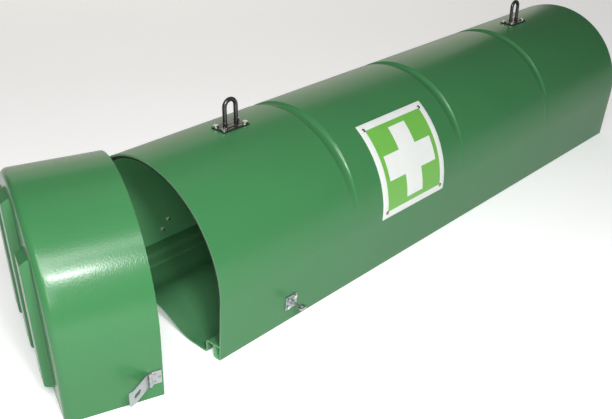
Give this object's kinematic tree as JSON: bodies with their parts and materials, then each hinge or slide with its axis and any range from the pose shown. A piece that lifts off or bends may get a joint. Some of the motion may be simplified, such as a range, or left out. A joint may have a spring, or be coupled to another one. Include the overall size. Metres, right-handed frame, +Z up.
{
  "type": "stretcher storage canister",
  "caption": "Green moulded fibreglass canister for a rescue stretcher, with a raised floor, lifting eyes, a first-aid sign and a pull-off end cap held by side hasps.",
  "frame": {"origin": "centre of the tube's base, on the ground plane half way along the tube", "axes": "+Z up; the tube runs along X with its open mouth and the cap towards -X; -Y is the side with the sign"},
  "size_m": [2.3847, 0.6685, 0.542],
  "materials": {
    "green_gelcoat": "glossy green gelcoat on fibreglass, slightly uneven",
    "inner_laminate": "green resin over glass mat, satin",
    "seal_rubber": "black foam rubber strip",
    "sign_plastic": "white plastic sign with a printed green field",
    "black_paint": "black paint on steel",
    "zinc_plate": "dull zinc plating",
    "bright_steel": "bright zinc plating"
  },
  "bodies": {
    "tube": {"tube_shell": "green_gelcoat", "floor_pan": "inner_laminate", "mouth_seal": "seal_rubber", "sign_plate": "sign_plastic", "sign_rivets": "bright_steel", "front_eye_plate": "black_paint", "front_eye_loop": "black_paint", "front_eye_bolts": "bright_steel", "front_eye_backing": "black_paint", "front_eye_nuts": "bright_steel", "rear_eye_plate": "black_paint", "rear_eye_loop": "black_paint", "rear_eye_bolts": "bright_steel", "rear_eye_backing": "black_paint", "rear_eye_nuts": "bright_steel", "near_staple_plate": "zinc_plate", "near_staple_bolts": "bright_steel", "near_staple_nuts": "bright_steel", "far_staple_plate": "zinc_plate", "far_staple_bolts": "bright_steel", "far_staple_nuts": "bright_steel"},
    "near_turn_eye": {"near_turn_eye": "zinc_plate"},
    "far_turn_eye": {"far_turn_eye": "zinc_plate"},
    "cap_pivot": {"far_hasp_pin": "bright_steel"},
    "cap": {"cap_shell": "green_gelcoat", "near_hasp_leaf": "zinc_plate", "near_hasp_rivets": "bright_steel", "near_hasp_pin": "bright_steel", "far_hasp_leaf": "zinc_plate", "far_hasp_rivets": "bright_steel"},
    "near_strap": {"near_hasp_strap": "zinc_plate"},
    "far_strap": {"far_hasp_strap": "zinc_plate"}
  },
  "joints": [
    {"name": "cap_pull", "type": "slide", "parent": "tube", "child": "cap_pivot", "axis": [1, 0, 0], "range_m": [-0.1, 0.195]},
    {"name": "cap_turn", "type": "hinge", "parent": "cap_pivot", "child": "cap", "pos_m": [-1.0055, 0.29164, 0.088], "axis": [0, 0, 1], "range_deg": [-10.3, 20.01]},
    {"name": "near_strap_swing", "type": "hinge", "parent": "cap", "child": "near_strap", "pos_m": [-1.20432, -0.25462, 0.063], "axis": [0, 0, 1], "range_deg": [-28, 137]},
    {"name": "far_strap_swing", "type": "hinge", "parent": "cap", "child": "far_strap", "pos_m": [-1.0055, 0.29164, 0.088], "axis": [0, 0, 1], "range_deg": [-137, 28]},
    {"name": "near_eye_turn", "type": "hinge", "parent": "tube", "child": "near_turn_eye", "pos_m": [-0.7605, -0.26231, 0.063], "axis": [0, -1, 0], "range_deg": [0, 90]},
    {"name": "far_eye_turn", "type": "hinge", "parent": "tube", "child": "far_turn_eye", "pos_m": [-0.7605, 0.26427, 0.088], "axis": [0, 1, 0], "range_deg": [0, 90]}
  ],
  "couplings": [
    {"joint": "cap_turn", "follows": "cap_pull", "rad_per_m": 1.7901}
  ]
}
